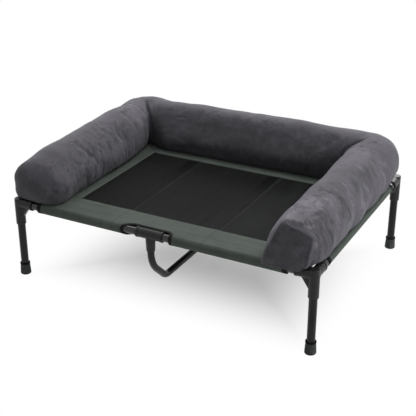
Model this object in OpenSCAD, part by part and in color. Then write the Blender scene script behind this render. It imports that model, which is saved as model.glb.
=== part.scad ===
// Raised dog cot: a push-together tube frame on four legs, a mesh sling with fabric borders,
// and a stuffed bolster round the left, back and right sides.
// Millimetres. +X is to the right, +Y is to the back, +Z is up.
// The origin is on the floor, midway between the four legs.

/* [Frame] */
// Distance between the leg axes, side to side
leg_span_x = 1029; // [900:1:1200]
// Distance between the leg axes, front to back
leg_span_y = 752; // [650:1:900]
// Height of the rail axes above the floor
rail_z = 260; // [240:1:360]
// Outside diameter of the legs and rails
tube_d = 25.4; // [23:0.1:28]
// Wall of every tube
tube_wall = 1.2; // [0.8:0.1:2]
// Clearance between a tube and its socket, on the radius
fit_gap = 0.3; // [0.2:0.05:0.4]

/* [Corner connectors] */
// Wall of the sockets
socket_wall = 3; // [2:0.1:4]
// Reach of an arm from the leg axis to its mouth
arm_reach = 56; // [48:1:66]
// Distance from the leg axis to the stop inside an arm
arm_stop = 19; // [18:1:26]
// Length of the raised lip at a mouth
lip_len = 6; // [3:1:10]
// Height of the raised lip
lip_rise = 1; // [0.5:0.1:1.6]
// Drop of the leg socket below the rail axis
post_drop = 73; // [62:1:90]
// Web between a leg's end and the rail sockets above it
stop_web = 2; // [1.5:0.1:4]
// Reach of the gusset along an arm
gusset_reach = 36; // [28:1:44]
// Drop of the gusset down the leg socket
gusset_drop = 46; // [36:1:56]
// Thickness of the gusset
gusset_t = 14; // [8:0.5:20]
// Rounding of the leg socket's closed top
cap_r = 3; // [1:0.5:4]

/* [Feet] */
// Height of a rubber foot
foot_h = 41; // [32:1:55]
// Thickness of rubber under the leg
foot_floor = 8; // [5:0.5:12]
// Wall of the foot at its neck
foot_wall = 2.6; // [2:0.1:4]
// Flare of the foot from neck to base, on the radius
foot_flare = 2.2; // [1:0.1:4]
// Rounding of the foot's lower edge
foot_edge_r = 4; // [2:0.5:6]
// Height of the foot's rim
foot_rim_h = 4; // [3:0.5:6]
// Height that the rim stands proud
foot_rim_rise = 0.9; // [0.4:0.1:1.5]

/* [Tees and brace] */
// Place of the tees and the brace along the front and back rails
tee_x = -18; // [-40:1:40]
// Length of a tee's sleeve
tee_len = 92; // [76:1:110]
// Width of the stop rib inside a tee
tee_rib = 3; // [2:0.5:6]
// Drop of a tee's stem below the rail axis
stem_drop = 55; // [45:1:65]
// Wall of the stem at its mouth
stem_wall = 2.2; // [1.5:0.1:3]
// Widening of the stem from its mouth to the rail, on the radius
stem_flare = 3; // [1:0.5:4]
// Outside diameter of the brace tube
brace_d = 22; // [19:0.5:24]
// Height of the brace's low run above the floor
brace_z = 78; // [60:1:100]
// Lean of the brace's slanted runs from upright, in degrees
brace_lean = 47; // [35:1:55]
// Straight tube between a stem and its first bend
brace_neck = 5; // [2:1:10]
// Radius of the bend below a stem
brace_upper_r = 100; // [60:1:110]
// Radius of the bend at the low run
brace_lower_r = 45; // [30:1:60]

/* [Sling] */
// Thickness of the mesh, the borders and their bindings
cloth_t = 1.2; // [0.8:0.1:1.6]
// Clearance between a rail and its cloth sleeve, on the radius
sleeve_gap = 0.3; // [0.2:0.05:0.6]
// Angle round the sleeve at which the flat border leaves it, in degrees
leave_angle = 16; // [12:1:24]
// Width of the front border, from rail axis to mesh
front_border_w = 98; // [80:1:140]
// Width of the side borders, from rail axis to mesh
side_border_w = 177; // [140:1:220]
// Width of the back border, from rail axis to mesh
back_border_w = 192; // [150:1:240]
// Bare rail between a connector's mouth and the cloth
bare_rail = 24; // [14:1:40]
// Width of the binding at a cut corner
corner_binding_w = 14; // [8:1:20]
// Distance between a connector and the slant of a cut corner
corner_clear = 2; // [1:0.5:6]
// Bare rail on each side of a tee
notch_side = 36; // [20:1:50]
// Shift of the notch's middle from the tee
notch_shift = -12; // [-15:1:15]
// Distance between a tee and the notch's inner edge
notch_clear = 3; // [1:0.5:6]
// Rounding of the notch's inner corners
notch_r = 26; // [10:1:28]
// Width of the binding round a notch
notch_binding_w = 10; // [6:1:14]

/* [Bolster] */
// Width of the bolster's arms
arm_w = 165; // [140:1:190]
// Height of the bolster's arms
arm_h = 143; // [110:1:180]
// Width of the bolster's back
back_w = 172; // [140:1:200]
// Height of the bolster's back
back_h = 159; // [110:1:190]
// Overhang of the bolster past the leg axes, at the sides
side_overhang = 16; // [0:1:25]
// Overhang of the bolster past the leg axes, at the back
back_overhang = 17; // [0:1:25]
// Overhang of the arms past the front leg axes
front_overhang = 17; // [0:1:25]
// Rounding of the outer back corners, in plan
outer_corner_r = 95; // [60:1:120]
// Rounding of the creased inner back corners, in plan
inner_corner_r = 8; // [5:1:14]
// Inset of the flat base from the bolster's widest line
base_inset = 38; // [28:1:50]
// Height of the widest line, as a share of the height
belly = 0.43; // [0.35:0.01:0.55]
// Squareness of the rounded top, where 2 is an ellipse
crown_power = 2.45; // [2:0.05:3]
// How far the cover is drawn in at its end seams, as a share of its size
end_draw = 0.06; // [0.02:0.01:0.1]
// Length over which the cover is drawn in
draw_len = 110; // [60:1:160]
// Thickness of the cover
cover_t = 1.5; // [1:0.1:2.5]
// Clearance between the cover and its fill
fill_gap = 0.3; // [0.2:0.05:0.5]
// Clearance between the bolster and the connectors that it rests on
rest_gap = 0.3; // [0.2:0.05:0.5]

/* [Hidden] */
$fn = 64;

// Colours as they look in the photograph
tube_colour = "#2b2c2d";
plastic_colour = "#313232";
rubber_colour = "#3a3c3c";
border_colour = "#5c625c";
mesh_colour = "#262626";
binding_colour = "#1d1e1d";
velvet_colour = "#5b595f";
fill_colour = "#e8e6e0";

// Overlap that makes a cut run clean through a face
cut_over = 1;

// Sides of the cot
left = -1;
right = 1;
front = -1;
back = 1;

// Places and radii of the frame
leg_x = leg_span_x / 2;
leg_y = leg_span_y / 2;
bore_r = tube_d / 2 + fit_gap;
socket_r = bore_r + socket_wall;
lip_r = socket_r + lip_rise;
post_bottom = rail_z - post_drop;
post_top = rail_z + lip_r;
leg_top = rail_z - bore_r - stop_web;

// Radii of a foot
foot_neck_r = bore_r + foot_wall;
foot_base_r = foot_neck_r + foot_flare;
foot_rim_r = foot_neck_r + foot_rim_rise;

// Radii of a tee's stem
brace_bore_r = brace_d / 2 + fit_gap;
stem_mouth_r = brace_bore_r + stem_wall;
stem_top_r = stem_mouth_r + stem_flare;

// The brace's path in depth and height, from its end in the front stem to its low run
brace_top = rail_z - bore_r - stop_web;
upper_bend_z = rail_z - stem_drop - brace_neck;
slant_y = -leg_y + brace_upper_r * (1 - cos(brace_lean));
slant_z = upper_bend_z - brace_upper_r * sin(brace_lean);
slant_len = (slant_z - brace_z - brace_lower_r * (1 - sin(brace_lean))) / cos(brace_lean);
slant_end = [slant_y + slant_len * sin(brace_lean), slant_z - slant_len * cos(brace_lean)];
low_run_y = slant_end[0] + brace_lower_r * cos(brace_lean);
bead_rise = 0.12;
bead_len = 1.2;

// The sling's sleeve round a rail, and the height of the flat sheet that leaves it
sleeve_in_r = tube_d / 2 + sleeve_gap;
sleeve_out_r = sleeve_in_r + cloth_t;
sheet_rise = (sleeve_in_r + cloth_t / 2) * cos(leave_angle) - cloth_t / 2;
sheet_bottom = rail_z + sheet_rise;
mesh_x = leg_x - side_border_w;
mesh_front = -leg_y + front_border_w;
mesh_back = leg_y - back_border_w;

// Cuts in the sling for the connectors and the tees
cut_reach = 2 * sleeve_out_r;
corner_cut = arm_reach + bare_rail;
corner_shelf = lip_r + corner_clear;
notch_x = tee_x + notch_shift;
notch_w = tee_len + 2 * notch_side;
notch_depth = sqrt(lip_r * lip_r - sheet_rise * sheet_rise) + notch_clear;

// The bolster's places in plan. Its sections fan out round a crease at each inner back corner.
bolster_z = rail_z + lip_r + rest_gap;
outer_x = leg_x + side_overhang;
outer_y = leg_y + back_overhang;
front_y = -leg_y - front_overhang;
arm_start = front_y + cover_t;
crease_x = outer_x - arm_w - inner_corner_r;
crease_y = outer_y - back_w - inner_corner_r;
side_reach = outer_x - crease_x;
back_reach = outer_y - crease_y;

// Steps of the bolster's sections: round the outline, along an arm, round a corner, along the back
side_steps = 4;
crown_steps = 12;
arm_shares = [0, 0.03, 0.08, 0.15, 0.25, 0.45, 0.65, 0.85, 1];
corner_step = 15;
back_steps = 6;

// Distance from a crease to the bolster's rounded outer outline, at an angle from the arm
function outline_reach(a) =
    let (
        cx = side_reach - outer_corner_r,
        cy = back_reach - outer_corner_r,
        m = cx * cos(a) + cy * sin(a)
    )
    side_reach * tan(a) <= cy ? side_reach / cos(a)
    : back_reach / tan(a) <= cx ? back_reach / sin(a)
    : m + sqrt(m * m - cx * cx - cy * cy + outer_corner_r * outer_corner_r);

// Share of its full size that the cover keeps at a distance from an end seam
function drawn(d) = 1 - end_draw * pow(max(0, 1 - d / draw_len), 2);

// A station is [x, y, angle, inner reach, outer reach, height]
function arm_station(share) =
    let (
        length = crease_y - arm_start,
        k = drawn(share * length),
        squeeze = arm_w * (1 - k) / 2
    )
    [-crease_x, arm_start + share * length, 0,
        inner_corner_r + squeeze, side_reach - squeeze, arm_h * k];
function corner_station(a) =
    [-crease_x, crease_y, a, inner_corner_r, outline_reach(a), arm_h + (back_h - arm_h) * sin(a)];
function back_station(share) =
    [crease_x * (2 * share - 1), crease_y, 90, inner_corner_r, back_reach, back_h];
function set_back(s) = [s[0], s[1] + fill_gap, s[2], s[3], s[4], s[5]];
function mirrored(s) = [-s[0], s[1], 180 - s[2], s[3], s[4], s[5]];

arm_part = [for (t = arm_shares) arm_station(t)];
corner_front_half = [for (a = [corner_step:corner_step:45]) corner_station(a)];
corner_back_half = [for (a = [45:corner_step:90 - corner_step]) corner_station(a)];
back_part = [for (i = [0:back_steps]) back_station(i / back_steps)];
left_stations = concat(arm_part, corner_front_half);
back_half = concat(corner_back_half, [for (i = [0:back_steps / 2]) back_part[i]]);
back_stations = concat(
    corner_back_half,
    back_part,
    [for (i = [len(corner_back_half) - 1:-1:0]) mirrored(corner_back_half[i])]
);

// A section's outline, from its inner bottom edge over the crown to its outer bottom edge,
// as [reach, height] points moved inward by an offset
function section(s, offset) =
    let (
        middle = (s[3] + s[4]) / 2,
        half = (s[4] - s[3]) / 2 - offset,
        inset = base_inset - offset,
        belly_z = belly * s[5],
        low = belly_z - offset,
        high = s[5] - belly_z - offset,
        side = [for (i = [0:side_steps - 1])
            let (b = 90 * i / side_steps)
            [half - inset * (1 - sin(b)), belly_z - low * cos(b)]],
        crown = [for (i = [0:crown_steps])
            let (q = 180 - 180 * i / crown_steps)
            [half * sign(cos(q)) * pow(abs(cos(q)), 2 / crown_power),
                belly_z + high * pow(sin(q), 2 / crown_power)]]
    )
    concat(
        [for (p = side) [middle - p[0], p[1]]],
        [for (p = crown) [middle + p[0], p[1]]],
        [for (i = [side_steps - 1:-1:0]) [middle + side[i][0], side[i][1]]]
    );

// A section's points in place
function placed(s, points) =
    [for (p = points) [s[0] - cos(s[2]) * p[0], s[1] + sin(s[2]) * p[0], bolster_z + p[1]]];
function reversed(list) = [for (i = [len(list) - 1:-1:0]) list[i]];
function plan_point(s, reach) = [s[0] - cos(s[2]) * reach, s[1] + sin(s[2]) * reach];

// Triangles between rings of n points, as a loft's sides
function loft_sides(rings, n) =
    [for (i = [0:rings - 2], j = [0:n - 1], half = [0, 1])
        let (
            k = (j + 1) % n,
            a = i * n,
            b = a + n
        )
        half == 0 ? [a + j, a + k, b + k] : [a + j, b + k, b + j]];

// The outside of one length of a round tube, standing on z = 0
module tube(r, length) {
    difference() {
        cylinder(r = r, h = length);
        translate([0, 0, -cut_over])
            cylinder(r = r - tube_wall, h = length + 2 * cut_over);
    }
}

// Turns a shape that stands on +Z to lie along +X or +Y
module along_x() {
    rotate([0, 90, 0])
        children();
}
module along_y() {
    rotate([-90, 0, 0])
        children();
}

// Swaps X and Y
module swapped() {
    mirror([1, -1, 0])
        children();
}

// Puts a shape made for the front left corner at any corner
module at_corner(side, end) {
    translate([side * leg_x, end * leg_y, 0])
        mirror([side == right ? 1 : 0, 0, 0])
            mirror([0, end == back ? 1 : 0, 0])
                children();
}

// A corner connector's arm, its bore and its gusset, along +X from the leg axis
module arm_outside() {
    translate([0, 0, rail_z])
        along_x() {
            cylinder(r = socket_r, h = arm_reach);
            translate([0, 0, arm_reach - lip_len])
                cylinder(r = lip_r, h = lip_len);
        }
}
module arm_bore() {
    translate([arm_stop, 0, rail_z])
        along_x()
            cylinder(r = bore_r, h = arm_reach - arm_stop + cut_over);
}
module gusset() {
    translate([0, gusset_t / 2, rail_z])
        rotate([90, 0, 0])
            linear_extrude(gusset_t)
                polygon([
                    [0, 0],
                    [gusset_reach, 0],
                    [gusset_reach, -bore_r - socket_wall / 2],
                    [bore_r + socket_wall / 2, -gusset_drop],
                    [0, -gusset_drop]
                ]);
}
module post_outside() {
    height = post_top - post_bottom;
    translate([0, 0, post_bottom])
        rotate_extrude() {
            square([socket_r, height - cap_r]);
            square([socket_r - cap_r, height]);
            translate([socket_r - cap_r, height - cap_r])
                intersection() {
                    circle(cap_r);
                    square(cap_r);
                }
        }
}

// Three-way socket that joins a leg and two rails
module corner_connector(side, end) {
    color(plastic_colour)
        at_corner(side, end)
            difference() {
                union() {
                    post_outside();
                    arm_outside();
                    gusset();
                    swapped() {
                        arm_outside();
                        gusset();
                    }
                }
                translate([0, 0, post_bottom - cut_over])
                    cylinder(r = bore_r, h = leg_top - post_bottom + cut_over);
                arm_bore();
                swapped()
                    arm_bore();
            }
}

// Leg tube, from the floor of its foot to the stop in its connector
module leg(side, end) {
    color(tube_colour)
        translate([side * leg_x, end * leg_y, foot_floor])
            tube(tube_d / 2, leg_top - foot_floor);
}

// Flared rubber foot with a rim, pushed onto the leg
module foot(side, end) {
    edge = [for (a = [-90:15:0])
        [foot_base_r - foot_edge_r + foot_edge_r * cos(a), foot_edge_r + foot_edge_r * sin(a)]];
    color(rubber_colour)
        translate([side * leg_x, end * leg_y, 0])
            rotate_extrude()
                polygon(concat([[0, 0]], edge, [
                    [foot_neck_r, foot_h - foot_rim_h],
                    [foot_rim_r, foot_h - foot_rim_h],
                    [foot_rim_r, foot_h],
                    [bore_r, foot_h],
                    [bore_r, foot_floor],
                    [0, foot_floor]
                ]));
}

// Half of the front or back rail, from a connector's stop to the rib in the tee
module half_rail(side, end) {
    inner = tee_x + side * tee_rib / 2;
    outer = side * (leg_x - arm_stop);
    color(tube_colour)
        translate([min(inner, outer), end * leg_y, rail_z])
            along_x()
                tube(tube_d / 2, abs(outer - inner));
}

// Side rail, from stop to stop
module side_rail(side) {
    color(tube_colour)
        translate([side * leg_x, -leg_y + arm_stop, rail_z])
            along_y()
                tube(tube_d / 2, leg_span_y - 2 * arm_stop);
}

// Tee that joins two half rails and holds one end of the brace
module tee(end) {
    rail_seat = (tee_len - tee_rib) / 2;
    color(plastic_colour)
        translate([tee_x, end * leg_y, rail_z])
            difference() {
                union() {
                    translate([-tee_len / 2, 0, 0])
                        along_x()
                            cylinder(r = socket_r, h = tee_len);
                    for (x = [-tee_len / 2, tee_len / 2 - lip_len])
                        translate([x, 0, 0])
                            along_x()
                                cylinder(r = lip_r, h = lip_len);
                    translate([0, 0, -stem_drop])
                        cylinder(r1 = stem_mouth_r, r2 = stem_top_r, h = stem_drop);
                }
                for (x = [-tee_len / 2 - cut_over, tee_rib / 2])
                    translate([x, 0, 0])
                        along_x()
                            cylinder(r = bore_r, h = rail_seat + cut_over);
                translate([0, 0, -stem_drop - cut_over])
                    cylinder(r = brace_bore_r, h = stem_drop - bore_r - stop_web + cut_over);
            }
}

// One bend of a round rod about a centre, in depth and height
module rod_bend(r, centre, bend_r, start_angle, turn) {
    translate(centre)
        rotate([0, 0, start_angle])
            rotate_extrude(angle = turn)
                translate([bend_r, 0])
                    circle(r);
}
// One straight run of a round rod, in depth and height, with its angle from the depth axis
module rod_run(r, start, angle, length) {
    translate(start)
        rotate([0, 0, angle])
            along_x()
                cylinder(r = r, h = length);
}
// A hair-thin bead that closes the joint between a run and a bend
module rod_bead(r, point, angle) {
    translate(point)
        rotate([0, 0, angle])
            along_x()
                cylinder(r = r + bead_rise, h = bead_len, center = true);
}
// Front half of the brace's path as a rod, whose top runs on by an extra length
module brace_half(r, extra) {
    rod_run(r, [-leg_y, upper_bend_z], 90, brace_top - upper_bend_z + extra);
    rod_bead(r, [-leg_y, upper_bend_z], 90);
    rod_bend(r, [-leg_y + brace_upper_r, upper_bend_z], brace_upper_r, 180, brace_lean);
    rod_bead(r, [slant_y, slant_z], brace_lean - 90);
    rod_run(r, [slant_y, slant_z], brace_lean - 90, slant_len);
    rod_bead(r, slant_end, brace_lean - 90);
    rod_bend(r, [low_run_y, brace_z + brace_lower_r], brace_lower_r, 180 + brace_lean, 90 - brace_lean);
    rod_bead(r, [low_run_y, brace_z], 0);
}
module brace_rod(r, extra) {
    brace_half(r, extra);
    mirror([1, 0, 0])
        brace_half(r, extra);
    rod_run(r, [low_run_y, brace_z], 0, -2 * low_run_y);
}

// Bent tube that runs low under the cot from the front tee to the back tee
module brace_tube() {
    color(tube_colour)
        translate([tee_x, 0, 0])
            rotate([90, 0, 90])
                difference() {
                    brace_rod(brace_d / 2, 0);
                    brace_rod(brace_d / 2 - tube_wall, cut_over);
                }
}

// The flat strip of one border
module strip(points) {
    translate([0, 0, sheet_bottom])
        linear_extrude(cloth_t)
            polygon(points);
}
// The front or back border before it is cut: a flat strip that wraps the rail
module end_form(end) {
    mesh_y = end == front ? mesh_front : mesh_back;
    difference() {
        union() {
            strip([[-mesh_x, mesh_y], [mesh_x, mesh_y], [leg_x, end * leg_y], [-leg_x, end * leg_y]]);
            translate([-leg_x + corner_cut, end * leg_y, rail_z])
                along_x()
                    cylinder(r = sleeve_out_r, h = leg_span_x - 2 * corner_cut);
        }
        translate([-leg_x, end * leg_y, rail_z])
            along_x()
                cylinder(r = sleeve_in_r, h = leg_span_x);
    }
}
// The left or right border before it is cut
module side_form(side) {
    difference() {
        union() {
            strip([
                [side * mesh_x, mesh_front],
                [side * mesh_x, mesh_back],
                [side * leg_x, leg_y],
                [side * leg_x, -leg_y]
            ]);
            translate([side * leg_x, -leg_y + corner_cut, rail_z])
                along_y()
                    cylinder(r = sleeve_out_r, h = leg_span_y - 2 * corner_cut);
        }
        translate([side * leg_x, -leg_y, rail_z])
            along_y()
                cylinder(r = sleeve_in_r, h = leg_span_y);
    }
}

// A plan shape made tall enough to cut the sheet and its sleeves
module cutter() {
    translate([0, 0, rail_z - cut_reach])
        linear_extrude(2 * cut_reach)
            children();
}
// The cover's cut corner, wider by an extra width
module corner_cutter(side, end, extra) {
    edge = corner_cut + extra;
    shelf = corner_shelf + extra * (sqrt(2) - 1);
    at_corner(side, end)
        cutter()
            polygon([
                [-cut_reach, -cut_reach],
                [edge, -cut_reach],
                [edge, shelf],
                [shelf, edge],
                [-cut_reach, edge]
            ]);
}
// The notch that leaves a tee bare, wider by an extra width
module notch_cutter(end, extra) {
    half = notch_w / 2 + extra;
    depth = notch_depth + extra;
    r = notch_r + extra;
    translate([notch_x, end * leg_y, 0])
        mirror([0, end == back ? 1 : 0, 0])
            cutter() {
                translate([-half, -cut_reach])
                    square([2 * half, cut_reach + depth - r]);
                translate([r - half, -cut_reach])
                    square([2 * (half - r), cut_reach + depth]);
                for (x = [r - half, half - r])
                    translate([x, depth - r])
                        circle(r);
            }
}

// Black mesh sleeping surface
module mesh_panel() {
    color(mesh_colour)
        translate([-mesh_x, mesh_front, sheet_bottom])
            cube([2 * mesh_x, mesh_back - mesh_front, cloth_t]);
}

// Front or back fabric border, with its sleeve open at the tee
module end_border(end) {
    color(border_colour)
        difference() {
            end_form(end);
            corner_cutter(left, end, corner_binding_w);
            corner_cutter(right, end, corner_binding_w);
            notch_cutter(end, notch_binding_w);
        }
}

// Left or right fabric border with its sleeve
module side_border(side) {
    color(border_colour)
        difference() {
            side_form(side);
            corner_cutter(side, front, corner_binding_w);
            corner_cutter(side, back, corner_binding_w);
        }
}

// Black binding round a notch
module notch_binding(end) {
    color(binding_colour)
        difference() {
            intersection() {
                end_form(end);
                notch_cutter(end, notch_binding_w);
            }
            notch_cutter(end, 0);
        }
}

// Black binding along a cut corner and round the two sleeve ends beside it
module corner_binding(side, end) {
    color(binding_colour)
        difference() {
            intersection() {
                union() {
                    end_form(end);
                    side_form(side);
                }
                corner_cutter(side, end, corner_binding_w);
            }
            corner_cutter(side, end, 0);
        }
}

// A band of cover that follows a row of stations, open underneath
module cover_band(stations) {
    half = 2 * side_steps + crown_steps + 1;
    n = 2 * half;
    rings = [for (s = stations)
        placed(s, concat(section(s, 0), reversed(section(s, cover_t))))];
    last = (len(stations) - 1) * n;
    first_cap = [for (j = [0:half - 2], part = [0, 1])
        part == 0 ? [j, n - 1 - j, n - 2 - j] : [j, n - 2 - j, j + 1]];
    last_cap = [for (j = [0:half - 2], part = [0, 1])
        part == 0
            ? [last + j, last + j + 1, last + n - 2 - j]
            : [last + j, last + n - 2 - j, last + n - 1 - j]];
    polyhedron(
        points = [for (ring = rings) each ring],
        faces = concat(loft_sides(len(stations), n), first_cap, last_cap)
    );
}

// A solid of fill that follows a row of stations, just inside the cover. Its points run the same way
// as the cover's inner face, so that the triangles of the two match and stay a clearance apart.
module fill_body(stations) {
    n = 2 * side_steps + crown_steps + 1;
    rings = [for (s = stations) placed(s, reversed(section(s, cover_t + fill_gap)))];
    sides = [for (f = loft_sides(len(stations), n)) reversed(f)];
    last = (len(stations) - 1) * n;
    first_cap = [for (j = [1:n - 2]) [0, j, j + 1]];
    last_cap = [for (j = [1:n - 2]) [last, last + j + 1, last + j]];
    polyhedron(
        points = [for (ring = rings) each ring],
        faces = concat(sides, first_cap, last_cap)
    );
}

// Velvet cover of one arm
module arm_cover(side) {
    color(velvet_colour)
        mirror([side == right ? 1 : 0, 0, 0])
            cover_band(left_stations);
}

// Velvet cover of the back
module back_cover() {
    color(velvet_colour)
        cover_band(back_stations);
}

// Flat velvet panel that closes the front end of an arm
module end_panel(side) {
    color(velvet_colour)
        mirror([side == right ? 1 : 0, 0, 0])
            translate([-crease_x, arm_start, bolster_z])
                rotate([90, 0, 0])
                    linear_extrude(cover_t)
                        polygon([for (p = section(left_stations[0], 0)) [-p[0], p[1]]]);
}

// Flat base panel under the whole bolster
module bolster_base() {
    half = concat(left_stations, back_half);
    outer = [for (s = half) plan_point(s, s[4] - base_inset)];
    inner = [for (s = half) plan_point(s, s[3] + base_inset)];
    color(velvet_colour)
        translate([0, 0, bolster_z])
            linear_extrude(cover_t)
                polygon(concat(
                    outer,
                    [for (p = reversed(outer)) [-p[0], p[1]]],
                    [for (p = inner) [-p[0], p[1]]],
                    reversed(inner)
                ));
}

// Fibre fill of one arm, just behind its end panel
module arm_fill(side) {
    color(fill_colour)
        mirror([side == right ? 1 : 0, 0, 0])
            fill_body(concat(
                [set_back(left_stations[0])],
                [for (i = [1:len(left_stations) - 1]) left_stations[i]]
            ));
}

// Fibre fill of the back
module back_fill() {
    color(fill_colour)
        fill_body(back_stations);
}

corner_connector(left, front);  // corner_front_left
corner_connector(right, front);  // corner_front_right
corner_connector(left, back);  // corner_back_left
corner_connector(right, back);  // corner_back_right
leg(left, front);  // leg_front_left
leg(right, front);  // leg_front_right
leg(left, back);  // leg_back_left
leg(right, back);  // leg_back_right
foot(left, front);  // foot_front_left
foot(right, front);  // foot_front_right
foot(left, back);  // foot_back_left
foot(right, back);  // foot_back_right
half_rail(left, front);  // front_rail_left
half_rail(right, front);  // front_rail_right
half_rail(left, back);  // back_rail_left
half_rail(right, back);  // back_rail_right
side_rail(left);  // side_rail_left
side_rail(right);  // side_rail_right
tee(front);  // front_tee
tee(back);  // back_tee
brace_tube();
mesh_panel();
end_border(front);  // front_border
end_border(back);  // back_border
side_border(left);  // left_border
side_border(right);  // right_border
notch_binding(front);  // front_notch_binding
notch_binding(back);  // back_notch_binding
corner_binding(left, front);  // corner_binding_front_left
corner_binding(right, front);  // corner_binding_front_right
corner_binding(left, back);  // corner_binding_back_left
corner_binding(right, back);  // corner_binding_back_right
arm_cover(left);  // bolster_left_cover
back_cover();  // bolster_back_cover
arm_cover(right);  // bolster_right_cover
end_panel(left);  // bolster_left_end
end_panel(right);  // bolster_right_end
bolster_base();
arm_fill(left);  // bolster_left_fill
back_fill();  // bolster_back_fill
arm_fill(right);  // bolster_right_fill
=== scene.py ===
"""Raised dog cot: a tube frame on rubber feet, a mesh sling with fabric borders, and a stuffed
velvet bolster round three sides.

Metres. +X is to the right, +Y is to the back, +Z is up, and the origin is on the floor.
"""
import math
from collections import namedtuple

import bmesh
import bpy
import numpy as np
from mathutils import Matrix, Vector


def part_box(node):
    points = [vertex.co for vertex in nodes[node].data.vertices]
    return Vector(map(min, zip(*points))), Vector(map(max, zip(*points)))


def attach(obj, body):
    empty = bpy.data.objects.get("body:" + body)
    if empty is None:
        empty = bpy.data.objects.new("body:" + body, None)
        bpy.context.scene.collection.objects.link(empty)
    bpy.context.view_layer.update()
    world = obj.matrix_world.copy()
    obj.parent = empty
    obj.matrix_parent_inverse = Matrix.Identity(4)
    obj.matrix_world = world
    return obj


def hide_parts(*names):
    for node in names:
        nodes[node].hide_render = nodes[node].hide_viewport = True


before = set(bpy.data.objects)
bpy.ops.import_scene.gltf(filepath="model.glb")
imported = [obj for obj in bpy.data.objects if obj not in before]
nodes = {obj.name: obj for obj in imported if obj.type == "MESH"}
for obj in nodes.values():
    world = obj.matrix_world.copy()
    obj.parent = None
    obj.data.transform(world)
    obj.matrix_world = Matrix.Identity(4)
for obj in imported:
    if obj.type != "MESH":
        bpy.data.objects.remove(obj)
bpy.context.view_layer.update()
scene = bpy.context.scene

MM = 0.001


# Places and sizes, read from the frame
def middle(node):
    low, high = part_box(node)
    return (low + high) / 2


LEG_X, LEG_Y = middle("leg_back_right").xy
RAIL_Z = middle("side_rail_left").z
MESH_LOW, MESH_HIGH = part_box("mesh_panel")
SHEET_TOP = MESH_HIGH.z
CLOTH_T = MESH_HIGH.z - MESH_LOW.z
SLEEVE_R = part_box("left_border")[1].z - RAIL_Z
BOLSTER_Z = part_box("bolster_base")[0].z
BOLSTER_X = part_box("bolster_right_cover")[1].x
BOLSTER_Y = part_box("bolster_back_cover")[1].y
ARM_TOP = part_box("bolster_left_fill")[1].z
ARM_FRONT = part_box("bolster_left_end")[0].y
TEE_X = middle("front_tee").x

# Widths of the bolster and the small round of its inner corners, as in the source of the solids
ARM_W = 165 * MM
BACK_W = 172 * MM
INNER_R = 8 * MM
CREASE_X = BOLSTER_X - ARM_W - INNER_R
CREASE_Y = BOLSTER_Y - BACK_W - INNER_R

# Cuts in the sling, as in the source of the solids
CORNER_EDGE = 80 * MM
CORNER_SHELF = 19 * MM
CORNER_TAPE = 14 * MM
NOTCH_X = TEE_X - 12 * MM
NOTCH_HALF = 82 * MM
NOTCH_DEPTH = 14.5 * MM
NOTCH_TAPE = 10 * MM

# Folds that the sling keeps from its box
FOLDS = (-150 * MM, 160 * MM)
SIDE_FOLDS = (-191 * MM, 97 * MM)


# Shader nodes
MIX_A, MIX_B, MIX_RESULT = 6, 7, 2


class Tap:
    """One output of a shader node. Arithmetic on it adds Math nodes to its tree."""

    def __init__(self, socket):
        self.socket = socket

    def node(self, kind, settings=None, inputs=None, output=0):
        """Adds a node of any kind. Its settings are set first, then its sockets' values or links."""
        made = self.socket.id_data.nodes.new("ShaderNode" + kind)
        for name, value in (settings or {}).items():
            setattr(made, name, value)
        for name, value in (inputs or {}).items():
            feed(made.inputs[name], value)
        return Tap(made.outputs[output])

    def maths(self, operation, a, b=0.0):
        return self.node("Math", {"operation": operation}, {0: a, 1: b})

    def __add__(self, other):
        return self.maths("ADD", self, other)

    def __radd__(self, other):
        return self.maths("ADD", other, self)

    def __sub__(self, other):
        return self.maths("SUBTRACT", self, other)

    def __rsub__(self, other):
        return self.maths("SUBTRACT", other, self)

    def __mul__(self, other):
        return self.maths("MULTIPLY", self, other)

    def __rmul__(self, other):
        return self.maths("MULTIPLY", other, self)

    def __abs__(self):
        return self.maths("ABSOLUTE", self)

    def sine(self):
        return self.maths("SINE", self)

    def most(self, other):
        return self.maths("MAXIMUM", self, other)

    def step(self, low, high):
        """0 below low and 1 above high, with a smooth rise between."""
        settings = {"interpolation_type": "SMOOTHSTEP"}
        return self.node("MapRange", settings, {"Value": self, "From Min": low, "From Max": high})

    def axes(self):
        split = self.node("SeparateXYZ", None, {0: self}).socket.node
        return [Tap(out) for out in split.outputs]

    def stretched(self, x, y, z):
        return self.node("VectorMath", {"operation": "MULTIPLY"}, {0: self, 1: (x, y, z)})

    def noise(self, scale, detail=2.0, roughness=0.5, distortion=0.0):
        inputs = {"Vector": self, "Scale": scale, "Detail": detail}
        inputs.update({"Roughness": roughness, "Distortion": distortion})
        return self.node("TexNoise", None, inputs)

    def between(self, a, b):
        """A colour from a, where this value is 0, to b, where it is 1."""
        inputs = {0: self, MIX_A: a, MIX_B: b}
        return self.node("Mix", {"data_type": "RGBA"}, inputs, MIX_RESULT)

    def bump(self, distance, strength=1.0, under=None):
        inputs = {"Height": self, "Distance": distance, "Strength": strength}
        if under is not None:
            inputs["Normal"] = under
        return self.node("Bump", None, inputs)


def feed(socket, value):
    if isinstance(value, Tap):
        socket.id_data.links.new(value.socket, socket)
    else:
        socket.default_value = value


def finish(name, settings):
    """A new material with its fixed settings, its shader's sockets and the piece's own coordinates."""
    material = bpy.data.materials.new(name)
    material.use_nodes = True
    tree = material.node_tree
    sockets = tree.nodes["Principled BSDF"].inputs
    for key, value in settings.items():
        sockets[key].default_value = value
    place = Tap(tree.nodes.new("ShaderNodeTexCoord").outputs["Object"])
    return material, sockets, place


def rgb(*levels):
    return (*levels, 1.0)


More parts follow.
